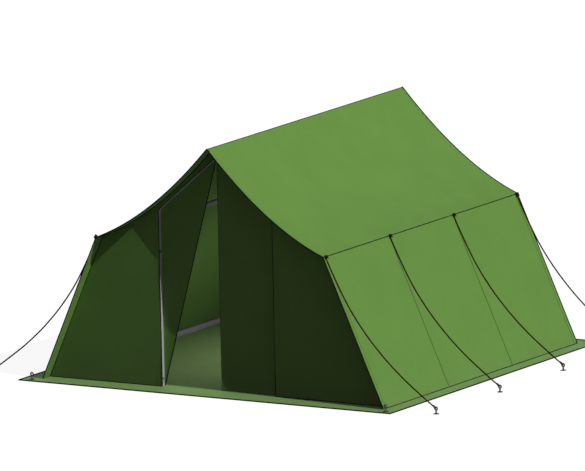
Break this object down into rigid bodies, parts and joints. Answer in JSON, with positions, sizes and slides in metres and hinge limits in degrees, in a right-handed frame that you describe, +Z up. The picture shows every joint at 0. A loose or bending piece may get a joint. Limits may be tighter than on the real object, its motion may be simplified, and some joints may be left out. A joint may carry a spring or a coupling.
{
  "type": "frame tent",
  "caption": "Green canvas ridge tent with a concave roof, splayed side walls, split front door, square-tube frame, guy ropes, pegs and mud flaps.",
  "frame": {"origin": "on the ground under the middle of the tent", "axes": "+Z up, front with the doorway towards -Y, ridge along Y, +X to the right seen from the front"},
  "size_m": [5.231, 4.21, 2.5],
  "materials": {
    "canvas": "woven canvas, matt",
    "mud_flap_cloth": "coated cloth, matt",
    "groundsheet_cloth": "coated cloth, satin",
    "tube_metal": "grey anodised, satin",
    "webbing": "woven webbing, matt",
    "rope": "laid rope, matt",
    "peg_steel": "zinc plated, dull"
  },
  "bodies": {
    "tent": {"roof_panel_left": "canvas", "roof_panel_right": "canvas", "side_wall_left": "canvas", "side_wall_right": "canvas", "front_wall_left": "canvas", "front_wall_right": "canvas", "rear_wall": "canvas", "groundsheet": "groundsheet_cloth", "mud_flap_left": "mud_flap_cloth", "mud_flap_right": "mud_flap_cloth", "mud_flap_front": "mud_flap_cloth", "mud_flap_rear": "mud_flap_cloth", "door_leaf_left": "canvas", "door_leaf_right": "canvas", "ridge_beam": "tube_metal", "eave_rail_left": "tube_metal", "eave_rail_right": "tube_metal", "floor_rail_left": "tube_metal", "floor_rail_right": "tube_metal", "post_front_left": "tube_metal", "post_front_right": "tube_metal", "post_rear_left": "tube_metal", "post_rear_right": "tube_metal", "rafter_front_left": "tube_metal", "rafter_front_right": "tube_metal", "rafter_rear_left": "tube_metal", "rafter_rear_right": "tube_metal", "side_hoop_front_left": "tube_metal", "side_hoop_front_right": "tube_metal", "side_hoop_rear_left": "tube_metal", "side_hoop_rear_right": "tube_metal", "apex_joint_front": "tube_metal", "apex_joint_rear": "tube_metal", "post_strap_left_upper": "webbing", "post_strap_left_lower": "webbing", "post_strap_right_upper": "webbing", "post_strap_right_lower": "webbing", "guy_rope_left_1": "rope", "guy_rope_left_2": "rope", "guy_rope_left_3": "rope", "guy_rope_left_4": "rope", "guy_rope_right_1": "rope", "guy_rope_right_2": "rope", "guy_rope_right_3": "rope", "guy_rope_right_4": "rope", "guy_peg_left_1": "peg_steel", "guy_peg_left_2": "peg_steel", "guy_peg_left_3": "peg_steel", "guy_peg_left_4": "peg_steel", "guy_peg_right_1": "peg_steel", "guy_peg_right_2": "peg_steel", "guy_peg_right_3": "peg_steel", "guy_peg_right_4": "peg_steel", "corner_peg_front_left": "peg_steel", "corner_peg_front_right": "peg_steel", "corner_peg_rear_left": "peg_steel", "corner_peg_rear_right": "peg_steel"},
    "left_flap": {"door_flap_left": "canvas"},
    "right_flap": {"door_flap_right": "canvas"}
  },
  "joints": [
    {"name": "left_flap_fold", "type": "hinge", "parent": "tent", "child": "left_flap", "pos_m": [0, -1.7401, 2.37405], "axis": [0.2697, 0, 0.9629], "range_deg": [-174, 0]},
    {"name": "right_flap_fold", "type": "hinge", "parent": "tent", "child": "right_flap", "pos_m": [0, -1.7401, 2.37405], "axis": [0.2697, 0, -0.9629], "range_deg": [0, 174]}
  ]
}
